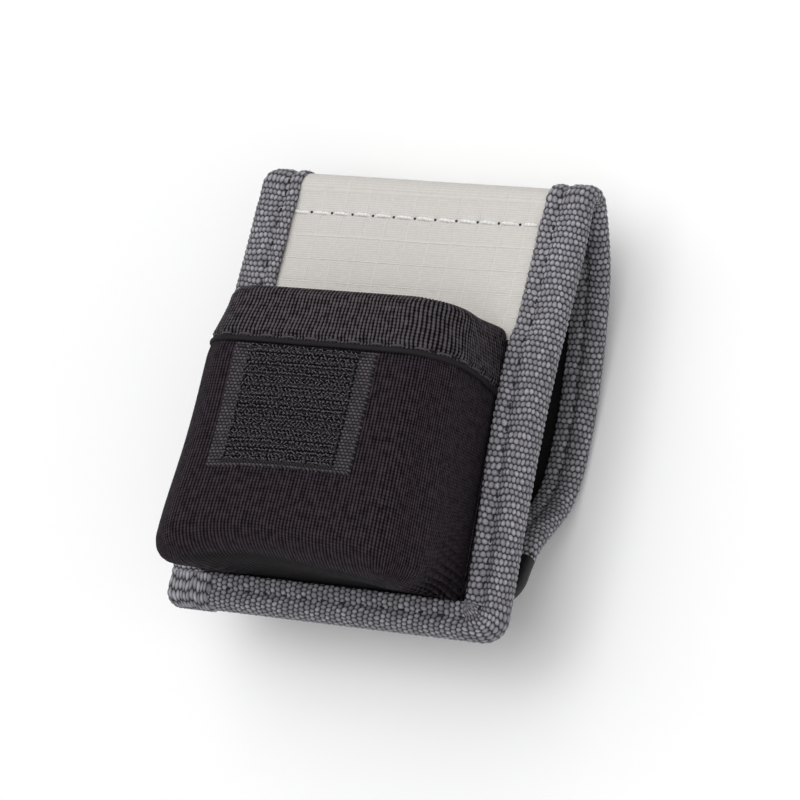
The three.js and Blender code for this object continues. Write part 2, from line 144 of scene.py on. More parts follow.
# Hook patch
PATCH_HALF, PATCH_LOW, PATCH_HIGH = 13.0, 19.6, 39.6
PATCH_X, PATCH_SKEW, PATCH_RISE = -1.7, 0.0016, 0.7
PATCH_STEP = 0.13
SELVEDGE = 2.8
FIELD_HALF = PATCH_HALF - SELVEDGE
SIDE_FRAY, END_FRAY = 0.03, 0.14
HOOK_PITCH, HOOK_PLACE = 1.4, 0.72
HOOK_LINE, HOOK_REACH = 0.2, 0.25
HOOK_CURVE = np.array(
    [(0.0, -0.05), (0.0, 0.38), (0.03, 0.66), (0.18, 0.84), (0.38, 0.86), (0.52, 0.72), (0.55, 0.5)]
)
HOOK_GIRTH = 0.072 * np.array([1.0, 1.0, 1.0, 1.0, 0.95, 0.85, 0.6])

# Weaves, with pitches across and along
BINDING_PIP, SELVEDGE_PIP = (0.84, 1.0), (0.7, 0.5)
PIP_WIDE, PIP_LONG, PIP_POWER = 0.54, 0.53, 2.0
PIP_SHADE = 0.8
PIP_RISE, PIP_LEVEL = 0.22, 0.35
SELVEDGE_RISE, SELVEDGE_LEVEL = 0.14, 0.4
ELASTIC_RIB, JERSEY_RIB, LOOP_SHARE = 0.68, 0.59, 0.8

# Upright and level lines of the ripstop: shift, spacing, half width and strength
RIPSTOP_GRID = ((-1.1, 4.3, 0.17, 0.55), (2.85, 4.07, 0.20, 0.8))

# Stitches: pitch, length, radius, lift and start
TAPE_STITCH = (3.6, 1.3, 0.2, 0.06, 0.5)
ELASTIC_STITCH = (4.0, 2.6, 0.2, 0.0, 0.7)
PATCH_STITCH = (2.2, 1.7, 0.16, 0.08, 0.2)
END_STITCH = (3.2, 2.5, 0.2, 0.08, 0.3)
WHITE_STITCH = (4.0, 3.65, 0.34, 0.22, 0.1)
NEEDLE_HOLE = (4.0, 0.5, 0.22, 0.10, 3.68)
STITCH_RINGS, STITCH_LOOSE = 7, 0.12
TUBE_SIDES = 6
TUBE_TURN = np.radians(np.arange(TUBE_SIDES) * 360 / TUBE_SIDES)

rng = np.random.default_rng(11)
join = np.concatenate


def smooth(t):
    t = np.clip(t, 0, 1)
    return t * t * (3 - 2 * t)


def rise(value, start, run):
    """From 0 to 1, smoothly, over a run from a start."""
    return smooth((value - start) / run)


def hump(value, middle, width):
    return np.exp(-((value - middle) / width) ** 2)


def unit(vectors):
    return vectors / np.linalg.norm(vectors, axis=-1, keepdims=True)


def stack(*parts):
    """Coordinates joined into points."""
    return np.stack(np.broadcast_arrays(*parts), -1)


def span(low, high, step):
    return np.linspace(low, high, max(2, int(math.ceil(abs(high - low) / step)) + 1))


def lengths(line):
    """Lengths from a line's start to its points."""
    return join([[0], np.cumsum(np.linalg.norm(np.diff(line, axis=0), axis=1))])


def points_at(at, gone, line):
    """Points of a line at lengths from its start."""
    return np.stack([np.interp(at, gone, line[:, k]) for k in range(line.shape[1])], -1)


def bow(s):
    t = np.clip((np.asarray(s, float) - BOW_MIDDLE) / BOW_MIDDLE, -1, 1)
    return BOW * (1 - t * t) ** 2


def lay_path():
    """The side path, laid out run by run, and the stations where its runs end."""
    y, z, heading = [PANEL_Y - LEAD], [PANEL_Z], 0.0
    stations, marks = [-LEAD], [-LEAD]

    def walk(length, turn):
        nonlocal heading
        count = max(2, int(round(length / PATH_STEP)))
        angles = heading - math.radians(turn) * (np.arange(count) + 0.5) / count
        y.extend(y[-1] + np.cumsum(np.cos(angles)) * length / count)
        z.extend(z[-1] + np.cumsum(np.sin(angles)) * length / count)
        stations.extend(marks[-1] + length * (np.arange(count) + 1.0) / count)
        heading -= math.radians(turn)
        marks.append(marks[-1] + length)

    fold = FOLD_RADIUS * math.radians(FOLD_TURN)
    bend_run = BEND_RADIUS * math.radians(BEND_TURN)
    runs = [(LEAD + PANEL, 0), (CROWN, 0), (fold, FOLD_TURN), (SPINE, SPINE_TURN)]
    runs += [(SWEEP, SWEEP_TURN), (FLAT, 0), (bend_run, BEND_TURN)]
    for length, turn in runs:
        walk(length, turn)
    curl = heading - math.radians(CURL_TURN) * (np.arange(CURL_PARTS) + 0.5) / CURL_PARTS
    curl_rise = float(np.sin(curl).sum() * CURL / CURL_PARTS)
    walk((PANEL_Z - TIP_DEPTH - curl_rise - z[-1]) / math.sin(heading), 0)
    walk(CURL, CURL_TURN)
    walk(TAIL, 0)
    return np.array(stations), np.array(y), np.array(z), marks


PS, PY, PZ, MARKS = lay_path()
S_CREST, S_CROWN, S_FOLD, S_KNEE, S_SWEEP, S_FLAT, S_BEND, S_FALL, S_END = MARKS[1:10]

# How far the flap lies in towards the panel, by station
LAY_IN = [(S_KNEE - 4, 0), (S_KNEE + 6, 1.0), (S_KNEE + 14, 1.1), (S_SWEEP, 0.4), (S_SWEEP + 6, 0.2)]
LAY_IN += [(S_FLAT + 4, 0.9), (S_BEND, 0.7), (S_FALL, 0.1), (S_END, -0.4)]
PZ = PZ + np.where(PS < PANEL, bow(PS), np.interp(PS, *zip(*LAY_IN)))
TY, TZ = np.gradient(PY, PS), np.gradient(PZ, PS)
S_RIDGE = (S_CROWN + S_FOLD) / 2

# Stations where panel and flap are cut into stretches
CUTS = [66.9, 72.3, S_RIDGE, 86.0, 104.0]

# Stretches: name, first and last station, bodies to bend between, and where the bend starts and ends
STRETCHES = [
    ("crown", CUTS[0], CUTS[1], "pouch", "crown", S_CREST - CREASE_REACH, S_CREST + CREASE_REACH),
    ("fold", CUTS[1], CUTS[2], "crown", "ridge", S_CROWN, S_RIDGE),
    ("ridge", CUTS[2], CUTS[3], "ridge", "spine", S_RIDGE, S_FOLD),
    ("spine", CUTS[3], CUTS[4], "spine", "flap", S_KNEE - KNEE_REACH, S_KNEE + KNEE_REACH),
    ("flap", CUTS[4], S_END, "flap", "tip", S_FLAT, S_BEND),
]


def place(x, s, n):
    """Points at x across, station s along the side path and level n above it."""
    x, s, n = np.broadcast_arrays(x, s, n)
    x = x - FLAP_DRIFT * rise(s, S_KNEE, DRIFT_RUN)
    ty, tz = np.interp(s, PS, TY), np.interp(s, PS, TZ)
    size = np.hypot(ty, tz)
    y = np.interp(s, PS, PY) - n * tz / size
    z = np.interp(s, PS, PZ) + n * ty / size
    return np.stack([x, y, z], -1)


def bend(piece, stretch, level):
    first, second, start, end = stretch[3:]
    ends = [tuple(place(0.0, s, level) * MM) for s in (start, end)]
    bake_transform(piece)


class Tree:
    """A node tree with helpers that add nodes to it."""

    def __init__(self, tree):
        self.nodes, self.links = tree.nodes, tree.links

    def fill(self, node, inputs):
        """Gives a node's inputs their links, colours or values."""
        for label, value in inputs.items():
            if isinstance(value, (int, float)):
                node.inputs[label].default_value = value
            elif isinstance(value, tuple):
                node.inputs[label].default_value = (*value, 1)
            else:
                self.links.new(value, node.inputs[label])
        return node

    def add(self, kind, inputs):
        return self.fill(self.nodes.new(kind), inputs)

    def m(self, kind, *values):
        node = self.add("ShaderNodeMath", dict(enumerate(values)))
        node.operation = kind
        return node.outputs[0]


def start_group(name, inputs, outputs):
    """A shader node group with its tree, inputs and outputs."""
    group = bpy.data.node_groups.new(name, "ShaderNodeTree")
    for label, kind in inputs.items():
        group.interface.new_socket(name=label, in_out="INPUT", socket_type="NodeSocket" + kind)
    for label in outputs:
        group.interface.new_socket(name=label, in_out="OUTPUT", socket_type="NodeSocketFloat")
    source = group.nodes.new("NodeGroupInput")
    sink = group.nodes.new("NodeGroupOutput")
    return group, Tree(group), source.outputs, sink.inputs


# Oval pips in a brick layout, as on woven tape
def woven_pips():
    inputs = {"Across": "Float", "Along": "Float"}
    group, t, given, result = start_group("woven_pips", inputs, ("Height", "Tone"))
    row = t.m("FLOOR", given["Along"])
    across = t.m("ADD", given["Across"], t.m("MULTIPLY", t.m("FLOORED_MODULO", row, 2.0), 0.5))
    filled = []
    for coordinate, size in ((across, PIP_WIDE), (given["Along"], PIP_LONG)):
        off = t.m("DIVIDE", t.m("SUBTRACT", t.m("FRACT", coordinate), 0.5), size)
        filled.append(t.m("POWER", t.m("ABSOLUTE", off), PIP_POWER))
    inside = t.m("SUBTRACT", 1.0, t.m("ADD", *filled))
    t.links.new(t.m("MAXIMUM", inside, 0.0), result["Height"])
    cell = t.add("ShaderNodeCombineXYZ", {"X": t.m("FLOOR", across), "Y": row})
    speck = t.add("ShaderNodeTexWhiteNoise", {"Vector": cell.outputs[0]})
    speck.noise_dimensions = "2D"
    t.links.new(speck.outputs["Value"], result["Tone"])
    return group


# Rounded ribs, one for each unit of length
def fine_ribs():
    group, t, given, result = start_group("fine_ribs", {"Place": "Float"}, ("Height",))
    wave = t.m("SINE", t.m("MULTIPLY", given["Place"], math.pi))
    t.links.new(t.m("ABSOLUTE", wave), result["Height"])
    return group


# Uneven yarns and lint, as one value about zero
def yarn_noise():
    inputs = {"Place": "Vector", "Scale": "Float"}
    group, t, given, result = start_group("yarn_noise", inputs, ("Value",))
    fine = t.add("ShaderNodeTexNoise", {"Vector": given["Place"], "Scale": given["Scale"], "Detail": 3.0})
    t.links.new(t.m("SUBTRACT", fine.outputs[0], 0.5), result["Value"])
    return group


GROUPS = {"pips": woven_pips(), "ribs": fine_ribs(), "yarn": yarn_noise()}


# Colour sockets of a Mix node
MIX_A, MIX_B, MIX_RESULT = 6, 7, 2


def scaled(colour, factor):
    return tuple(min(1.0, c * factor) for c in colour)


class Paint(Tree):
    """One material with a Principled shader."""

    def __init__(self, name, colour, rough, specular=0.3, sheen=0.0):
        self.material = bpy.data.materials.new(name)
        self.material.use_nodes = True
        super().__init__(self.material.node_tree)
        self.shader = self.fill(self.nodes["Principled BSDF"], {
            "Base Color": colour, "Roughness": rough, "Specular IOR Level": specular, "Sheen Weight": sheen})
        uv = self.nodes.new("ShaderNodeUVMap")
        uv.uv_map = "mm"
        self.uv = uv.outputs[0]
        self.across, self.along, _ = self.add("ShaderNodeSeparateXYZ", {0: self.uv}).outputs

    def group(self, name, **inputs):
        node = self.nodes.new("ShaderNodeGroup")
        node.node_tree = GROUPS[name]
        return self.fill(node, inputs).outputs

    def yarn(self, scale):
        return self.group("yarn", Place=self.uv, Scale=scale)[0]

    def ribs(self, coordinate, pitch):
        return self.group("ribs", Place=self.m("DIVIDE", coordinate, pitch))[0]

    def weighed(self, a, share_a, b, share_b):
        return self.m("ADD", self.m("MULTIPLY", a, share_a), self.m("MULTIPLY", b, share_b))

    def off_line(self, coordinate, shift, cell):
        """Distance from a cell's middle, as a share of the cell."""
        share = self.m("FRACT", self.m("DIVIDE", self.m("ADD", coordinate, shift), cell))
        return self.m("ABSOLUTE", self.m("SUBTRACT", share, 0.5))

    def mix(self, factor, a, b):
        node = self.add("ShaderNodeMix", {0: factor, MIX_A: a, MIX_B: b})
        node.data_type = "RGBA"
        return node.outputs[MIX_RESULT]

    def toned(self, factor, colour, darker, lighter):
        return self.mix(factor, scaled(colour, darker), scaled(colour, lighter))

    def ramp(self, value, low, high):
        node = self.add("ShaderNodeMapRange", {"Value": value, "From Min": low, "From Max": high})
        node.interpolation_type = "SMOOTHSTEP"
        return node.outputs[0]

    def paint(self, colour):
        self.fill(self.shader, {"Base Color": colour})

    def bumped(self, height, depth):
        """The finished material, with a bump."""
        node = self.add("ShaderNodeBump", {"Distance": depth * MM, "Height": height})
        self.fill(self.shader, {"Normal": node.outputs[0]})
        return self.material


def pip_paint(name, light, dark, rough, pitch, depth, specular=0.3):
    """Woven tape: pale pips, each of its own tone, painted darker from their tops into the gaps as painted
    shade, on a ground that is partly dark yarn and partly painted shade.
    """
    own_tone, yarn_tone, tones = 0.4, 0.8, (-0.1, 0.7)
    darker, lighter, fuzz = 0.62, 1.3, 0.35
    p = Paint(name, light, rough, specular)
    across, along = p.m("DIVIDE", p.across, pitch[0]), p.m("DIVIDE", p.along, pitch[1])
    height, tone = p.group("pips", Across=across, Along=along)
    shade = p.weighed(tone, own_tone, p.yarn(3.0), yarn_tone)
    yarn = p.toned(p.ramp(shade, *tones), light, darker, lighter)
    # Painted shade: each pip darkens from its top to its edges, and the dark ground between the pips stands
    # partly for shade
    p.paint(p.mix(p.m("POWER", height, PIP_SHADE), dark, yarn))
    return p.bumped(p.weighed(height, 1.0, p.yarn(9.0), fuzz), depth)


def ripstop_paint():
    """Plain weave with a paler grid of thicker yarns."""
    base, darker, lighter, grid_lighter = (0.655, 0.626, 0.595), 0.84, 1.05, 1.14
    weft_pitch, weft_share, warp_pitch, warp_share = 0.40, 0.6, 0.36, 0.4
    weave_tone, yarn_tone, tones, grid_tone = 0.6, 0.45, (-0.1, 0.8), 0.7
    p = Paint("ripstop_cloth", base, 0.75, 0.2)
    lines = []
    for coordinate, (shift, cell, half, strength) in zip((p.across, p.along), RIPSTOP_GRID):
        off = p.m("MULTIPLY", p.off_line(coordinate, shift, cell), cell)
        shown = p.m("SUBTRACT", 1.0, p.ramp(off, half * 0.5, half))
        lines.append(p.m("MULTIPLY", shown, strength))
    grid = p.m("MAXIMUM", *lines)
    weave = p.weighed(p.ribs(p.along, weft_pitch), weft_share, p.ribs(p.across, warp_pitch), warp_share)
    shade = p.weighed(weave, weave_tone, p.yarn(1.3), yarn_tone)
    cloth = p.toned(p.ramp(shade, *tones), base, darker, lighter)
    p.paint(p.mix(p.m("MULTIPLY", grid, grid_tone), cloth, scaled(base, grid_lighter)))
    return p.bumped(p.weighed(grid, 1.0, weave, weave_tone), 0.09)


def ribbed_paint(name, colour, rough, pitch, depth, sheen, lighter, edges, foot=False):
    """Knitted ribs, their ridges painted lighter and their hollows darker as painted light and shade; under
    the pocket's foot they fade to painted shade.
    """
    loop_height, rib_tone, yarn_tone, darker, fuzz = 0.35, 0.6, 0.8, 0.15, 0.5
    p = Paint(name, colour, rough, 0.06, sheen)
    height = p.weighed(p.ribs(p.across, pitch), 1.0, p.ribs(p.along, pitch * LOOP_SHARE), loop_height)
    # Painted light and shade: the ribs' ridges are painted lighter and their hollows darker, with a random
    # yarn tone on top
    face = p.ramp(p.weighed(height, rib_tone, p.yarn(0.9), yarn_tone), *edges)
    if foot:
        # Painted shade under the pocket's foot: the ribs and their tone fade towards the darker colour
        off = p.m("ABSOLUTE", p.m("SUBTRACT", p.across, FOOT_SHADE_MIDDLE))
        unshaded = p.m("MAXIMUM", p.ramp(p.along, *FOOT_SHADE_ALONG), p.ramp(off, *FOOT_SHADE_ACROSS))
        left = p.m("ADD", p.m("MULTIPLY", unshaded, 1 - FOOT_SHADE_LEFT), FOOT_SHADE_LEFT)
        face = p.m("MULTIPLY", face, left)
    p.paint(p.toned(face, colour, darker, lighter))
    return p.bumped(p.weighed(height, 1.0, p.yarn(6.0), fuzz), depth)


def plain_paint(name, colour, rough, scale, depth, specular=0.3):
    darker, lighter, tones = 0.75, 1.3, (-0.3, 0.3)
    p = Paint(name, colour, rough, specular)
    noise = p.yarn(scale)
    p.paint(p.toned(p.ramp(noise, *tones), colour, darker, lighter))
    return p.bumped(noise, depth)


def ground_paint(dark, light):
    """Ground between the hooks, with a beaded line along each row."""
    bead, line_edge = 0.5, (0.08, 0.16)
    p = Paint("hook_ground", dark, 0.8, 0.05)
    off = p.off_line(p.along, -PATCH_LOW, HOOK_PITCH)
    line = p.m("MULTIPLY", p.m("SUBTRACT", 1.0, p.ramp(off, *line_edge)), p.ribs(p.across, bead))
    p.paint(p.mix(line, dark, light))
    return p.bumped(line, 0.05)


def weave_paint(name, colour, rough, pitch, depth, specular=0.25):
    darker, lighter, tones, yarn_tone = 0.6, 1.5, (0.2, 1.2), 0.7
    p = Paint(name, colour, rough, specular)
    height = p.weighed(p.ribs(p.across, pitch), 0.5, p.ribs(p.along, pitch), 0.5)
    shade = p.weighed(height, 1.0, p.yarn(1.1), yarn_tone)
    p.paint(p.toned(p.ramp(shade, *tones), colour, darker, lighter))
    return p.bumped(height, depth)


PAINTS = {
    "ripstop": ripstop_paint(),
    "binding": pip_paint("binding_tape", (0.390, 0.381, 0.420), (0.018, 0.017, 0.020), 0.7,
        BINDING_PIP, 0.16),
    "outer_cloth": weave_paint("outer_cloth", (0.014, 0.0132, 0.0145), 0.8, 0.4, 0.06, 0.12),
    "stretch_cloth": ribbed_paint("pocket_jersey", (0.0150, 0.0109, 0.0145), 0.8, JERSEY_RIB, 0.16,
        sheen=0.02, lighter=3.0, edges=(0.3, 0.85), foot=True),
    "elastic": ribbed_paint("elastic_band", (0.0215, 0.0184, 0.0206), 0.7, ELASTIC_RIB, 0.14,
        sheen=0.0, lighter=4.2, edges=(0.36, 0.8)),
    "patch_tape": pip_paint("patch_tape", (0.110, 0.098, 0.113), (0.004, 0.0035, 0.004), 0.6,
        SELVEDGE_PIP, 0.10, 0.1),
    "hook_ground": ground_paint((0.004, 0.0035, 0.004), (0.045, 0.040, 0.044)),
    "hooks": plain_paint("hook_monofilament", (0.092, 0.082, 0.090), 0.28, 2.0, 0.01, 0.6),
    "end_tape": weave_paint("end_tape_cloth", (0.012, 0.012, 0.0135), 0.5, 0.33, 0.03),
    "stiffener": plain_paint("stiffener_board", (0.25, 0.25, 0.24), 0.7, 0.4, 0.02),
    "white_thread": plain_paint("white_thread", (0.80, 0.785, 0.76), 0.6, 4.0, 0.03),
    "dark_thread": plain_paint("dark_thread", (0.020, 0.019, 0.021), 0.55, 4.0, 0.03),
    "seam_thread": plain_paint("seam_thread", (0.052, 0.048, 0.053), 0.6, 4.0, 0.03),
}


def add_object(name, data):
    made = bpy.data.objects.new(name, data)
    bpy.context.scene.collection.objects.link(made)
    return made


def new_piece(name, points, quads, uv, paint):
    """A smooth mesh from millimetres, with UVs by point or by corner of a face."""
    mesh = bpy.data.meshes.new(name)
    points = np.asarray(points, float).reshape(-1, 3) * MM
    quads = np.asarray(quads, int).reshape(-1, 4)
    mesh.from_pydata(points.tolist(), [], quads.tolist())
    layer = mesh.uv_layers.new(name="mm")
    if len(uv) == len(points):
        uv = uv[quads.ravel()]
    layer.data.foreach_set("uv", uv.reshape(-1).astype(np.float32))
    mesh.shade_smooth()
    mesh.materials.append(PAINTS[paint])
    piece = add_object(name, mesh)
    return piece


def grid_quads(rows, cols, flip=False):
    a = np.arange(rows - 1)[:, None] * cols + np.arange(cols - 1)
    quads = np.stack([a, a + 1, a + cols + 1, a + cols], -1).reshape(-1, 4)
    return quads[:, ::-1] if flip else quads


def grid_piece(name, points, uv, paint, flip=False):
    return new_piece(name, points, grid_quads(*points.shape[:2], flip), uv.reshape(-1, 2), paint)


def joined(parts):
    """Points, faces and UVs of several parts as those of one."""
    points, quads, uv = zip(*parts)
    starts = np.cumsum([0] + [len(p) for p in points])
    quads = [q + start for q, start in zip(quads, starts)]
    return join(points), join(quads), join(uv)


def raised(points, height, flip=False):
    """A grid of points moved out along its normals."""
    normal = np.cross(np.gradient(points, axis=0), np.gradient(points, axis=1))
    normal /= np.maximum(np.linalg.norm(normal, axis=-1, keepdims=True), 1e-9)
    return points + normal * (-height if flip else height)[..., None]


def pips(across, along, pitch):
    """Height of woven pips, as in the node group."""
    row = np.floor(along / pitch[1])
    fa = (across / pitch[0] + 0.5 * (row % 2)) % 1 - 0.5
    fb = (along / pitch[1]) % 1 - 0.5
    filled = np.abs(fa / PIP_WIDE) ** PIP_POWER + np.abs(fb / PIP_LONG) ** PIP_POWER
    return np.clip(1 - filled, 0, 1)


def level_at(s, levels, step):
    panel, flap = levels
    return panel + (flap - panel) * rise(s, *step)


def lining_relief(x, s):
    """Rise of the lining: sunk and waved at the stitch line, rounded over the crest."""
    waves = WAVE_RISE * np.sin(2 * math.pi * x / WAVE_LENGTH + 0.9 * np.sin(x * 0.21))
    drape = DRAPE_RISE * np.sin(x * 0.19 + 0.6) * np.sin(s * 0.16 + 0.4)
    crest = CREST_RISE * (1 - CREST_LEAN * x / HALF) * hump(s, S_RIDGE, CREST_REACH)
    crest = crest * (1 - rise(np.abs(x), HALF - LEG, CREST_EDGE))
    seam = waves * hump(s, STITCH_S, WAVE_REACH) - SEAM_SINK * hump(s, STITCH_S, SEAM_REACH)
    return seam + crest + drape * np.clip((s - DRAPE_FROM) / DRAPE_RUN, 0, 1)


def end_share(s):
    """Share of the width left where the flap's end rounds off."""
    run = np.clip((s - S_END - END_PAST + END_ROUND) / END_ROUND, 0, 1)
    return 1 - END_ROUND / HALF * (1 - np.sqrt(1 - run ** 2))


def cloth_strip(label, levels, relief, paint, flip):
    """One cloth, from the panel's bottom to the flap's end."""

    def cloth(name, low, high):
        x = span(-CLOTH_HALF, CLOTH_HALF, CLOTH_STEPS[0])
        xx, ss = np.meshgrid(x, span(low, min(high, S_END - CLOTH_SHORT), CLOTH_STEPS[1]))
        xx = xx * end_share(ss)
        n = level_at(ss, levels, CLOTH_STEP) + (relief(xx, ss) if relief else 0)
        return grid_piece(f"{label}_{name}_cloth", place(xx, ss, n), stack(xx, ss), paint, flip)

    made = {"panel": cloth("panel", CLOTH_LOW, CUTS[0])}
    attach(made["panel"], "pouch")
    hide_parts(f"panel_{label}", f"crown_{label}")
    for stretch in STRETCHES:
        piece = cloth(*stretch[:3])
        bend(piece, stretch, levels[1])
        made[stretch[0]] = piece
    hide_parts(f"fold_{label}")
    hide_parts(f"ridge_{label}", f"spine_{label}")
    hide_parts(f"flap_{label}", f"tip_{label}")
    for name, low, high in (stretch[:3] for stretch in STRETCHES[3:]):
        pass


# Stiffener board between the two cloths
def board():
    xx, ss = np.meshgrid(span(-BOARD_HALF, BOARD_HALF, 2.0), span(BOARD_LOW, BOARD_HIGH, 1.0))
    rows, cols = xx.shape
    count = rows * cols
    quads = [grid_quads(rows, cols), grid_quads(rows, cols, True) + count]
    index = np.arange(count).reshape(rows, cols)
    for line, flip in ((index[0], False), (index[-1], True), (index[:, 0], True), (index[:, -1], False)):
        wall = np.stack([line[:-1], line[:-1] + count, line[1:] + count, line[1:]], -1)
        quads.append(wall[:, ::-1] if flip else wall)
    points = join([place(xx, ss, n).reshape(-1, 3) for n in (BOARD_LEVEL, -BOARD_LEVEL)])
    uv = np.tile(stack(xx, ss).reshape(-1, 2), (2, 1))
    piece = new_piece("stiffener_board", points, join(quads), uv, "stiffener")
    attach(piece, "pouch")
    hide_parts("panel_stiffener")


# Binding tape: two legs and a roll, swept along stations on an edge
def tape_levels(s):
    """Levels of a tape's legs; the front one is higher over the pocket's edge."""
    over = OVER_POCKET * (1 - rise(s, *POCKET_DROP))
    return level_at(s, FRONT_LEVELS, TAPE_DROP) + over, level_at(s, BACK_LEVELS, TAPE_DROP)


def groove_of(edge):
    """Depth and width of the sewn groove, both larger low down on the right."""
    low = (1 - rise(edge[:, 1], *GROOVE_LOW)) * rise(edge[:, 0], *GROOVE_RIGHT)
    return tuple(plain + more * low for plain, more in (GROOVE_DEPTH, GROOVE_WIDTH))


def tape_section(stations):
    """Points and coordinates of a tape: rows are stations, columns go round its section."""
    edge, inward, *sizes, along = stations
    front_leg, back_leg, front, back, sunk, wide = (v[:, None] for v in (*sizes, *groove_of(edge)))
    middle, half = (front + back) / 2, (front - back) / 2
    quarter = 0.25 * math.pi * (ROLL_ACROSS + half)

    def leg_columns(side, leg, level):
        a = ROLL_ACROSS + (leg - ROLL_ACROSS - LIP_SETBACK) * np.linspace(1, 0, LEG_POINTS)
        crown = TAPE_CROWN * np.sin(math.pi * np.clip(a / leg, 0, 1))
        face = level + side * (crown - sunk * hump(leg - a, STITCH_IN, wide))
        reach = join([leg - TAPE_LIP[:, 0], a], 1)
        across = quarter + reach - ROLL_ACROSS
        across[:, :len(TAPE_LIP)] += TAPE_LIP[:, 1]
        return reach, join([level - side * TAPE_LIP[:, 1], face], 1), across * side

    turn = half_turn(ROLL_POINTS)
    roll = (ROLL_ACROSS - ROLL_ACROSS * np.cos(turn) + 0 * half, middle + half * np.sin(turn),
            quarter * (turn / (math.pi / 2)))
    back_columns = [c[:, ::-1] for c in leg_columns(-1, back_leg, back)]
    columns = zip(leg_columns(1, front_leg, front), roll, back_columns)
    reach, level, across = (join(c, 1) for c in columns)
    xs = edge[:, None, :] + inward[:, None, :] * reach[..., None]
    return place(xs[..., 0], xs[..., 1], level), across, np.repeat(along[:, None], reach.shape[1], 1)


def wander(across, along):
    """Tape coordinates with the unevenness of woven yarns."""
    moved = across + 0.10 * np.sin(along * 0.83 + 1.9 * np.sin(across * 0.61))
    gone = along + 0.12 * np.sin(across * 1.13 + 1.4 * np.sin(along * 0.37))
    return moved + 0.07 * np.sin(along * 2.3 + across * 1.7), gone + 0.06 * np.sin(along * 1.9 - across)


def pip_height(across, along):
    return PIP_RISE * (pips(across, along, BINDING_PIP) - PIP_LEVEL)


def tape_piece(name, stations, flip):
    points, across, along = tape_section(stations)
    across, along = wander(across, along)
    height = pip_height(across, along)
    height[:, [0, -1]] = 0
    return grid_piece(name, raised(points, height, flip), stack(across, along), "binding", flip)


def edge_stations(side, low, high, total):
    """Stations of one flap edge, whose pips run on from the panel's tape."""
    s = span(low, high, TAPE_STEP)
    along = total + s - CUTS[0] if side > 0 else CUTS[0] - s
    back_leg = LEG + (FLAP_BACK_LEG - LEG) * rise(s, CUTS[0], BACK_LEG_RUN)
    edge, inward = stack(side * HALF, s), stack(-float(side), 0 * s)
    return edge, inward, np.full(s.shape, LEG), back_leg, *tape_levels(s), along


def inner_line(line):
    """Inner edge of the panel tape beside its outer edge."""
    right = HALF - LEG + RIGHT_NARROW * (1 - rise(line[:, 1], *NARROW_LOW))
    return stack(np.clip(line[:, 0], LEG - HALF, right), np.maximum(line[:, 1], BOTTOM_LEG))


def panel_stations():
    """Stations down the panel's left, along its bottom and up its right."""
    arc = np.radians(np.linspace(180, 270, CORNER_POINTS))[1:-1]
    corner = stack(-HALF + CORNER + CORNER * np.cos(arc), CORNER + CORNER * np.sin(arc))
    left = join([stack(-HALF, span(CUTS[0], CORNER, LINE_STEP)), corner])
    bottom = stack(span(-HALF + CORNER, HALF - CORNER, LINE_STEP), 0.0)
    line = join([left, bottom, left[::-1] * (-1, 1)])
    gone = lengths(0.75 * line + 0.25 * inner_line(line))
    along = span(0, gone[-1], TAPE_STEP)
    line = points_at(along, gone, line)
    inward = inner_line(line) - line
    leg = np.linalg.norm(inward, axis=1)
    s = np.maximum(line[:, 1], TAPE_LOW)
    return line, inward / leg[:, None], leg, leg, *tape_levels(s), along


def tube_quads(count, rings):
    """Faces of tubes, each of some rings of points."""
    low = np.arange(count)[:, None, None] * rings * TUBE_SIDES + np.arange(rings - 1)[:, None] * TUBE_SIDES
    high = low + TUBE_SIDES
    j = np.arange(TUBE_SIDES)
    k = (j + 1) % TUBE_SIDES
    return stack(low + j, low + k, high + k, high + j).reshape(-1, 4)


def tube_points(centre, across, up, girth):
    """Rings of points about the centre lines of tubes."""
    turn = TUBE_TURN[:, None]
    offset = np.cos(turn) * across[:, :, None, :] + np.sin(turn) * up[:, :, None, :]
    return (centre[:, :, None, :] + offset * girth[:, None, None]).reshape(-1, 3)


# Sewing thread: short arched stitches along a line
def stitch_points(line, normal, stitch):
    pitch, length, radius, lift, start = stitch
    gone = lengths(line)
    firsts = np.arange(start, gone[-1] - length, pitch)
    firsts = firsts + rng.uniform(-STITCH_LOOSE, STITCH_LOOSE, len(firsts))
    t = np.linspace(0, 1, STITCH_RINGS)
    at = firsts[:, None] + length * t
    centre, up = points_at(at, gone, line), points_at(at, gone, normal)
    forward = unit(np.gradient(centre, axis=1))
    across = unit(np.cross(forward, up))
    up = np.cross(across, forward)
    off = np.abs(2 * t - 1)
    arch = lift - 1.6 * radius * off ** 4
    girth = radius * np.sqrt(np.clip(1 - off ** 6, 0.04, 1))
    points = tube_points(centre + up * arch[:, None], across, up, girth)
    uv = stack(TUBE_TURN * 0.2, at[:, :, None])
    return points, tube_quads(len(firsts), STITCH_RINGS), uv.reshape(-1, 2)


def sewing(name, rows, paint):
    """One piece with the stitches of all its rows."""
    points, quads, uv = joined([stitch_points(*row) for row in rows])
    return new_piece(name, points, quads, uv, paint)


def tape_rows(stations):
    """Stitch lines on a tape's front and back legs."""
    edge, inward, front_leg, back_leg, front, back = stations[:6]
    sunk = groove_of(edge)[0] - THREAD_RISE
    rows = []
    for level, side, leg in ((front, 1, front_leg), (back, -1, back_leg)):
        x, s = (edge + inward * (leg - STITCH_IN)[:, None]).T
        line = place(x, s, level - side * sunk)
        rows.append((line, place(x, s, level + side) - line, TAPE_STITCH))
    return rows


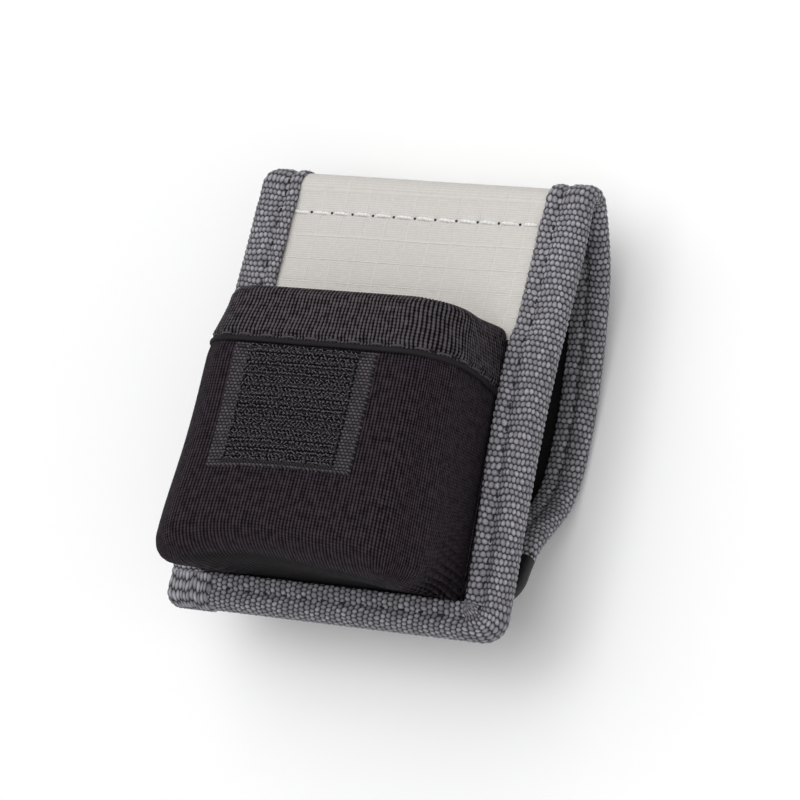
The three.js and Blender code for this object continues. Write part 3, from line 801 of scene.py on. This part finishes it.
def binding():
    """Tape with its thread, round the panel and along the flap's edges."""
    round_panel = panel_stations()
    total = float(round_panel[6][-1])
    panel_tape = tape_piece("binding_panel_tape", round_panel, True)
    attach(panel_tape, "pouch")
    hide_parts("panel_binding")
    panel_sewing = sewing("binding_panel_thread", tape_rows(round_panel), "dark_thread")
    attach(panel_sewing, "pouch")
    tape_bits = []
    for side, word in ((-1, "left"), (1, "right")):
        for stretch in STRETCHES:
            name, low, high = stretch[:3]
            high = min(high, S_END - END_LEG + TAPE_PAST_END)
            stations = edge_stations(side, low, high, total)
            piece = tape_piece(f"binding_{word}_{name}_tape", stations, side > 0)
            bend(piece, stretch, BACK_LEVELS[1])
            nodes = ["flap", "tip"] if name == "flap" else [name]
            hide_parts(*[f"{n}_binding_{word}" for n in nodes])
            thread = sewing(f"binding_{word}_{name}_thread", tape_rows(stations), "dark_thread")
            bend(thread, stretch, BACK_LEVELS[1])
            if name in ("spine", "flap"):
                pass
            else:
                tape_bits += [piece, thread]


def half_turn(count):
    return np.radians(np.linspace(90, -90, count))[1:-1]


def folded(start, roll_at, roll, levels, lips, step, count):
    """Stations and levels round a tape folded over an edge."""
    light, dark = levels
    legs = span(start, roll_at, step)
    turn = half_turn(count)
    middle, half = (light + dark) / 2, (light - dark) / 2
    s = join([[start, start], legs, roll_at + roll * np.cos(turn), legs[::-1], [start, start]])
    n = [[light - lip for lip in lips], np.full(legs.shape, light), middle + half * np.sin(turn)]
    n = join(n + [np.full(legs.shape, dark), [dark + lip for lip in lips[::-1]]])
    return s, n, middle


# The tape's end, wrapped over the bottom left corner
def corner_lap():
    levels, lips, top, low, pivot = (3.5, -2.6), (0.8, 0.3), 5.3, -0.3, 2.0
    width, left, lean, most_lean = 8.0, -30.2, 0.12, 9
    rim_round, rim_sink = 0.7, 0.27
    corner_round, corner_from, corner_run = 0.7, 1.6, 2.4
    s, n, middle = folded(top, pivot, low - pivot, levels, lips, 0.2, 40)
    along = lengths(stack(s, n))[:, None]
    across, ss = np.meshgrid(span(0, width, 0.16), s)
    rim = np.minimum(across, width - across)
    shrink = 1 - rim_sink * (1 - smooth(rim / rim_round))
    nn = middle + (n[:, None] - middle) * shrink
    ss = np.where(ss < pivot, pivot + (ss - pivot) * shrink, ss)
    spread = lean * np.clip(top - ss, 0, most_lean) * (2 * across / width - 1) * 0.5
    corner = np.clip((corner_from - ss) / corner_run, 0, 1) ** 2
    xx = left + across + spread + corner_round * corner * (1 - across / width)
    uv = stack(*wander(across * LAP_SQUEEZE, along * LAP_STRETCH + 0.12 * np.sin(across * 2.9)))
    points = raised(place(xx, ss, nn), pip_height(uv[..., 0], uv[..., 1]))
    piece = grid_piece("binding_lap_tape", points, uv, "binding")
    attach(piece, "pouch")
    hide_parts("binding_end_lap")


# Pocket: a boxed shell that swells, sags and gathers at its mouth
def drawn_in(u):
    return MOUTH_TAPER * rise(u, *MOUTH_DRAWN)


def bow_at(u, w):
    """The panel's bow, fading towards the pocket's front."""
    return bow(u) * (1 - rise(w, *BOW_FADE))


def pocket_shift(x, w, u, creased):
    """Moves points of the box: x across, w out from the panel, u up from the bottom edge."""
    tall = np.clip((u - POCKET_BOTTOM) / (POCKET_MOUTH - POCKET_BOTTOM), 0, 1)
    out = np.clip(w / POCKET_FRONT, 0, 1)
    side = np.clip(x / POCKET_HALF, -1, 1)
    drawn = drawn_in(u)
    swell = np.sin(math.pi * tall ** 0.7)
    bulge = SIDE_SWELL * swell * np.sin(math.pi * np.clip((w - POCKET_BASE) / SWELL_DEPTH, 0, 1)) ** 0.8
    full = hump(u, *FULL_AT)
    dx = side * (bulge - drawn + SIDE_FULL * full * smooth(out))
    dw = out * (FRONT_SWELL * swell * (1 - side ** 2) - drawn) + FRONT_FULL * full * out ** 2
    corner = CORNER_SAG * np.abs(side) ** 5 + LEFT_SAG * np.clip(-side, 0, 1) ** 5
    hang = SAG + corner - FOOT_LIFT * hump(x, FOOT_MIDDLE, FOOT_REACH)
    du = -hang * smooth(out) * np.exp(-np.clip(u - POCKET_BOTTOM, 0, 60) / SAG_FADE)
    if creased:
        on_side, on_front = np.abs(side) > 0.98, np.abs(side) < 0.9
        round_it = np.where(on_side, np.sign(side) * (POCKET_HALF + POCKET_FRONT - w), x)
        below = np.exp(-np.clip(ELASTIC_LOW - u, 0, 40) / GATHER_FADE)
        gather = GATHER * below * np.sin(round_it * 1.25 + 0.8 * np.sin(round_it * 0.4))
        from_side, from_base = POCKET_HALF - np.abs(x), u - POCKET_BOTTOM
        near = np.exp(-(np.abs(from_side) + np.abs(from_base)) / PINCH_FADE) * hump(w, *PINCH_AT)
        pinch = PINCH * near * np.sin((from_side - from_base) * 4.6 + w * 1.1)
        dw = dw + gather * out * on_front
        dx = dx + gather * np.sign(side) * on_side - np.sign(side) * pinch
        du = du + pinch
    return x + dx, u + du, PANEL_Z + w + dw + bow_at(u, w)


def pocket_mesh(name, inset, flip):
    """The pocket's outer shell with its pressed edges, or its inner one."""
    half, front, bottom = POCKET_HALF - inset, POCKET_FRONT - inset, POCKET_BOTTOM + inset
    radius = np.array(POCKET_ROUND) - inset
    outside = inset == 0
    x, u = span(-half, half, POCKET_STEP), span(bottom, POCKET_MOUTH, POCKET_STEP)
    w = span(POCKET_BASE, front, POCKET_STEP)
    xx, uu = np.meshgrid(x, u)
    faces = [(stack(xx, front, uu), stack(xx, uu), False)]
    ww, uu = np.meshgrid(w, u)
    for sign in (-1, 1):
        faces.append((stack(sign * half, ww, uu), stack(sign * (half + front - ww), uu), sign > 0))
    xx, ww = np.meshgrid(x, w)
    faces.append((stack(xx, ww, bottom), stack(xx, bottom - front + ww), False))
    if outside:
        inner = half - FLANGE_LAP
        seams = [(-FLANGE_HALF, -inner, POCKET_MOUTH), (inner, FLANGE_HALF, POCKET_MOUTH)]
        seams.append((-FLANGE_HALF, FLANGE_HALF, POCKET_BOTTOM + FLANGE_LAP))
        for left, right, top in seams:
            xx, uu = np.meshgrid(span(left, right, FLANGE_STEP), span(FLANGE_LOW, top, FLANGE_STEP))
            faces.append((stack(xx, FLANGE_LEVEL, uu), stack(xx, uu), False))
    parts = []
    for sharp, uv, turn in faces:
        q = grid_quads(*sharp.shape[:2], turn != flip)
        parts.append((sharp.reshape(-1, 3), q, uv.reshape(-1, 2)[q.ravel()]))
    sharp, quads, uv = joined(parts)
    kept, index = np.unique(np.round(sharp, 4), axis=0, return_inverse=True)
    quads = index.reshape(-1)[quads]
    core = stack(np.clip(kept[:, 0], radius[0] - half, half - radius[0]),
                 np.minimum(kept[:, 1], front - radius[1]),
                 np.maximum(kept[:, 2], bottom + radius[2]))
    gap = kept - core
    size = np.maximum(np.linalg.norm(gap / radius, axis=1), 1e-6)[:, None]
    rounded = rise(kept[:, 1:2], ROUND_FROM, ROUND_RUN)
    soft = kept + np.where(size > 1.0, core + gap / size - kept, 0) * rounded
    px, pu, pz = pocket_shift(*soft.T, outside)
    points = stack(px, pu + PANEL_Y, pz)
    return new_piece(name, points, quads, uv, "stretch_cloth")


def pocket():
    outer = pocket_mesh("pocket_outer_shell", 0.0, False)
    inner = pocket_mesh("pocket_inner_shell", POCKET_WALL, True)
    for piece in (outer, inner):
        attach(piece, "pouch")
    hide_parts("pocket_shell")


# Elastic folded over the pocket's mouth
def mouth_outline(u, count):
    """Points, outward directions and lengths along the pocket's outline at height u."""
    drawn = drawn_in(u)
    half, front, radius = POCKET_HALF - drawn, POCKET_FRONT - drawn, MOUTH_ROUND
    arc = np.radians(np.linspace(180, 90, 40))
    wall = stack(-half, np.linspace(MOUTH_BASE, front - radius, 30))
    bent = stack(radius - half + radius * np.cos(arc), front - radius + radius * np.sin(arc))
    line = join([wall, bent[1:], [(0.0, front)]])
    line = join([line, line[-2::-1] * (-1, 1)])
    gone = lengths(line)
    at = np.linspace(0, gone[-1], count)
    points = points_at(at, gone, line)
    forward = unit(np.gradient(points, axis=0))
    return points, stack(-forward[:, 1], forward[:, 0]), at


def elastic_row(e, u, count):
    """Points round the mouth at e out from the wall and height u, spread at the seams."""
    points, outward, at = mouth_outline(u, count)
    x, w = (points + outward * e).T
    spread = u + ELASTIC_SPREAD * (u - ELASTIC_MIDDLE) * (1 - smooth(w / SPREAD_DEPTH))
    return stack(x, spread + PANEL_Y, PANEL_Z + w + bow_at(u, w)), at


def elastic_band():
    middle, top, radius = ELASTIC_TOP
    section = [(e, ELASTIC_LOW + up) for e, up in ELASTIC_LIP]
    section += [(ELASTIC_OUT, u) for u in span(ELASTIC_LOW + 1.6, ELASTIC_HIGH, 0.15)]
    turn = np.linspace(0, math.pi, 36)
    section += [(middle + radius * math.cos(a), top + radius * math.sin(a)) for a in turn]
    section += [(ELASTIC_IN, u) for u in span(47.5, ELASTIC_LOW + 0.6, 0.6)]
    section += [(e, ELASTIC_LOW + up) for e, up in ELASTIC_HEM]
    rows = [elastic_row(e, u, ELASTIC_POINTS) for e, u in section]
    section = np.array(section)
    path = lengths(section)[:, None]
    across = np.repeat(rows[-1][1][None, :], len(section), 0)
    across = across + 0.06 * np.sin(path * 1.1 + np.sin(across * 0.3) * 2.0)
    above = section[:, 1:] - ELASTIC_LOW
    ribs = RIB_RISE * np.abs(np.sin(math.pi * across / ELASTIC_RIB))
    loops = LOOP_RISE * np.abs(np.sin(math.pi * path / (LOOP_SHARE * ELASTIC_RIB)))
    relief = (ribs + loops - RIB_LEVEL) * rise(above, KNIT_FROM, KNIT_RUN)
    sewn = SEWN_SINK * hump(above, SEWN_AT, SEWN_REACH) * (path < OUTER_PATH)
    relief = relief - sewn * (1 + np.cos(2 * math.pi * across / ELASTIC_STITCH[0]))
    points = raised(np.stack([row[0] for row in rows]), relief, True)
    uv = stack(across, path)
    uv[path[:, 0] < LIP_PATH] = (0.32 * ELASTIC_RIB, 0)
    piece = grid_piece("mouth_elastic_band", points, uv, "elastic", True)
    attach(piece, "pouch")
    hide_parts("mouth_elastic")
    height = ELASTIC_LOW + THREAD_AT
    line, at = elastic_row(THREAD_OUT, height, THREAD_POINTS)
    outward = elastic_row(THREAD_OUT + 1, height, THREAD_POINTS)[0] - line
    thread = sewing("mouth_elastic_thread", [(line, outward, ELASTIC_STITCH)], "seam_thread")
    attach(thread, "pouch")


# Hook patch of woven tape, and its hooks
def patch_points(x, u, lift):
    """Points at x and u of the patch, lifted off the pocket's front."""
    x, u = np.broadcast_arrays(x, u)
    u = u + PATCH_SKEW * x * (PATCH_HIGH - u)
    _, pu, pz = pocket_shift(x + PATCH_X, np.full(x.shape, POCKET_FRONT), u, True)
    return stack(x + PATCH_X, pu + PANEL_Y, pz + lift)


def patch_row(x, u, lift):
    line = patch_points(x, u, PATCH_RISE + lift)
    return line, np.tile((0.0, 0.0, 1.0), (len(line), 1)), PATCH_STITCH


def hook_patch():
    side_seam, end_seam, seam_end, seam_step = FIELD_HALF - 0.35, 0.9, 0.6, 0.3
    xx, uu = np.meshgrid(span(-PATCH_HALF, PATCH_HALF, PATCH_STEP), span(PATCH_LOW, PATCH_HIGH, PATCH_STEP))
    from_side, from_end = PATCH_HALF - np.abs(xx), np.minimum(uu - PATCH_LOW, PATCH_HIGH - uu)
    rim = np.minimum(from_side, from_end)
    weave = SELVEDGE_RISE * (pips(xx, uu, SELVEDGE_PIP) - SELVEDGE_LEVEL)
    points = patch_points(xx, uu, PATCH_RISE * smooth(rim / 0.3) + weave * rise(rim, 0.2, 0.4))
    points[..., 0] += SIDE_FRAY * np.sin(uu * 9.1) * (from_side < 0.01)
    points[..., 1] += END_FRAY * np.sin(xx * 7.7 + np.sin(xx * 2.1)) * (from_end < 0.01)
    piece = grid_piece("hook_patch_woven", points, stack(xx, uu), "patch_tape")
    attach(piece, "pouch")
    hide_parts("hook_patch_tape")
    up_side = span(PATCH_LOW + seam_end, PATCH_HIGH - seam_end, seam_step)
    along_end = span(-PATCH_HALF + seam_end, PATCH_HALF - seam_end, seam_step)
    rows = [patch_row(x, up_side, 0.25) for x in (-side_seam, side_seam)]
    rows += [patch_row(along_end, u, 0.2) for u in (PATCH_LOW + end_seam, PATCH_HIGH - end_seam)]
    thread = sewing("hook_patch_thread", rows, "dark_thread")
    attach(thread, "pouch")
    xx, uu = np.meshgrid(span(-FIELD_HALF, FIELD_HALF, 0.5), span(PATCH_LOW + 0.5, PATCH_HIGH - 0.3, 0.12))
    off = np.abs((uu - PATCH_LOW) / HOOK_PITCH % 1 - 0.5) * HOOK_PITCH
    ground = patch_points(xx, uu, PATCH_RISE + 0.04 + HOOK_LINE * (1 - smooth(off / HOOK_LINE)))
    bed = grid_piece("hook_patch_ground", ground, stack(xx, uu), "hook_ground")
    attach(bed, "pouch")


def hook_field():
    """Rows of single hooks, each leaning to one side."""
    aims, loose, shift_x, shift_u, heights = (0.6, math.pi - 0.6), 0.45, 0.16, 0.14, (0.75, 1.1)
    levels = np.arange(PATCH_LOW + 0.75 * HOOK_PITCH, PATCH_HIGH - 0.6, HOOK_PITCH / 2)
    places = np.arange(-FIELD_HALF + 0.4, FIELD_HALF - 0.3, HOOK_PLACE)
    hx, hu = (a.ravel() for a in np.meshgrid(places, levels))
    count = len(hx)
    row = np.repeat(np.arange(len(levels)), len(places))
    hx = hx + HOOK_PLACE / 2 * (row % 2) + rng.uniform(-shift_x, shift_x, count)
    hu = hu + rng.uniform(-shift_u, shift_u, count)
    aim = rng.choice(aims, count) + rng.uniform(-loose, loose, count)
    tall = rng.uniform(*heights, count)
    aim_x, aim_y = np.cos(aim)[:, None], np.sin(aim)[:, None]
    reach = HOOK_CURVE[:, 0] - HOOK_REACH
    foot = patch_points(hx, hu, PATCH_RISE)[:, None, :]
    centre = foot + stack(aim_x * reach, aim_y * reach, tall[:, None] * HOOK_CURVE[:, 1])
    forward = unit(np.gradient(centre, axis=1))
    flat = stack(-aim_y, aim_x, 0 * aim_x) + 0 * centre
    points = tube_points(centre, flat, np.cross(forward, flat), HOOK_GIRTH)
    uv = stack(hx[:, None, None] + TUBE_TURN * 0.1, hu[:, None, None])
    uv = np.repeat(uv, len(HOOK_CURVE), 1)
    quads = tube_quads(count, len(HOOK_CURVE))
    piece = new_piece("hook_field_hooks", points, quads, uv.reshape(-1, 2), "hooks")
    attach(piece, "pouch")
    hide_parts("hook_field")


# Tape folded over the flap's end
def end_tape():
    start, edge, waver = S_END - END_LEG, 0.02, 0.06
    s, n, middle = folded(start, S_END - END_ROLL_AT, END_ROLL, (END_LIGHT, END_DARK), (0.9, 0.25), 0.4, 14)
    n[2], n[-3] = END_LIGHT - edge, END_DARK + edge
    x = span(-HALF + END_SIDE, HALF - END_SIDE, 0.6)
    x = join([[-HALF, -HALF + 0.05], x, [HALF - 0.05, HALF]])
    xx, ss = np.meshgrid(x, s)
    close = np.clip((HALF - np.abs(xx)) / END_SIDE, 0, 1)
    nn = middle + (n[:, None] - middle) * np.sqrt(np.clip(1 - (1 - close) ** 2, 0.0, 1))
    nn = nn + waver * np.sin(xx * 0.5 + 1.0) * np.sign(nn - middle) * close
    xx = xx * end_share(ss)
    path = lengths(stack(s, n))
    uv = stack(xx, path[:, None])
    piece = grid_piece("flap_end_tape", place(xx, ss, nn), uv, "end_tape", True)
    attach(piece, "tip")
    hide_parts("end_tape")
    rows = []
    for level, side in ((END_LIGHT, 1), (END_DARK, -1)):
        line_x = span(-HALF + 0.8, HALF - 0.8, 0.4)
        line = place(line_x, start + END_SEAM, level)
        rows.append((line, place(line_x, start + END_SEAM, level + side) - line, END_STITCH))
    thread = sewing("flap_end_thread", rows, "dark_thread")
    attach(thread, "tip")


# White stitch line and its needle holes
def stitch_line():
    x = span(-24.0, 24.0, 0.25)
    level = level_at(STITCH_S, LINING_LEVELS, CLOTH_STEP)
    line = place(x, STITCH_S, level + lining_relief(x, STITCH_S))
    normal = place(x, STITCH_S, level + 2) - line
    thread = sewing("stitch_line_thread", [(line, normal, WHITE_STITCH)], "white_thread")
    bend(thread, STRETCHES[0], LINING_LEVELS[1])
    holes = sewing("stitch_line_holes", [(line, normal, NEEDLE_HOLE)], "dark_thread")
    bend(holes, STRETCHES[0], LINING_LEVELS[1])


# Floor and light
def studio():
    reach, low = 4.0, -0.0004
    corners = [(x * reach, y * reach, low) for x, y in ((-1, -1), (1, -1), (1, 1), (-1, 1))]
    floor_mesh = bpy.data.meshes.new("floor")
    floor_mesh.from_pydata(corners, [], [(0, 1, 2, 3)])
    floor_mesh.materials.append(Paint("floor_paper", (0.97, 0.97, 0.97), 0.9, 0.0).material)
    floor = add_object("floor", floor_mesh)
    world = bpy.data.worlds.new("studio")
    bpy.context.scene.world = world
    world.use_nodes = True
    sky = world.node_tree
    Tree(sky).fill(sky.nodes["Background"], {"Color": (1, 1, 1), "Strength": 0.36})
    aim = Vector((0, 0, 0.02))
    for name, spot, power in (
        ("key", (-0.28, 0.28, 0.85), 3.7),
        ("fill", (0.55, -0.30, 0.70), 2.7),
        ("top", (0.0, 0.0, 1.0), 2.9),
    ):
        lamp = bpy.data.lights.new(name, "AREA")
        lamp.size = 0.9
        lamp.energy = power
        holder = add_object(name, lamp)
        holder.location = spot
        holder.rotation_mode = "QUATERNION"
        holder.rotation_quaternion = (aim - Vector(spot)).to_track_quat("-Z", "Y")
    bpy.context.scene.view_settings.view_transform = "Standard"


# Camera fitted to the photograph: focal length and middle in pixels
def camera():
    picture, focal, middle_x, middle_y, sensor = 800, 3691.2, 385.8, 402.3, 36.0
    aim, distance = Vector((0, 0, 0.016)), 0.6
    back = Vector((0.49586, -0.20698, 0.84338)).normalized()
    right = Vector((0.86500, 0.20310, -0.45877))
    right = (right - back * right.dot(back)).normalized()
    lens = bpy.data.cameras.new("photo_view")
    lens.sensor_width = sensor
    lens.lens = focal / picture * sensor
    lens.shift_x = 0.5 - middle_x / picture
    lens.shift_y = middle_y / picture - 0.5
    lens.clip_start, lens.clip_end = 0.01, 20.0
    holder = add_object("photo_view", lens)
    turn = Matrix((right, back.cross(right), back)).transposed()
    holder.matrix_world = Matrix.Translation(aim + back * distance) @ turn.to_4x4()
    bpy.context.scene.camera = holder


cloth_strip("lining", LINING_LEVELS, lining_relief, "ripstop", False)
cloth_strip("outer", OUTER_LEVELS, None, "outer_cloth", True)
board()
binding()
corner_lap()
pocket()
elastic_band()
hook_patch()
hook_field()
end_tape()
stitch_line()
studio()
camera()
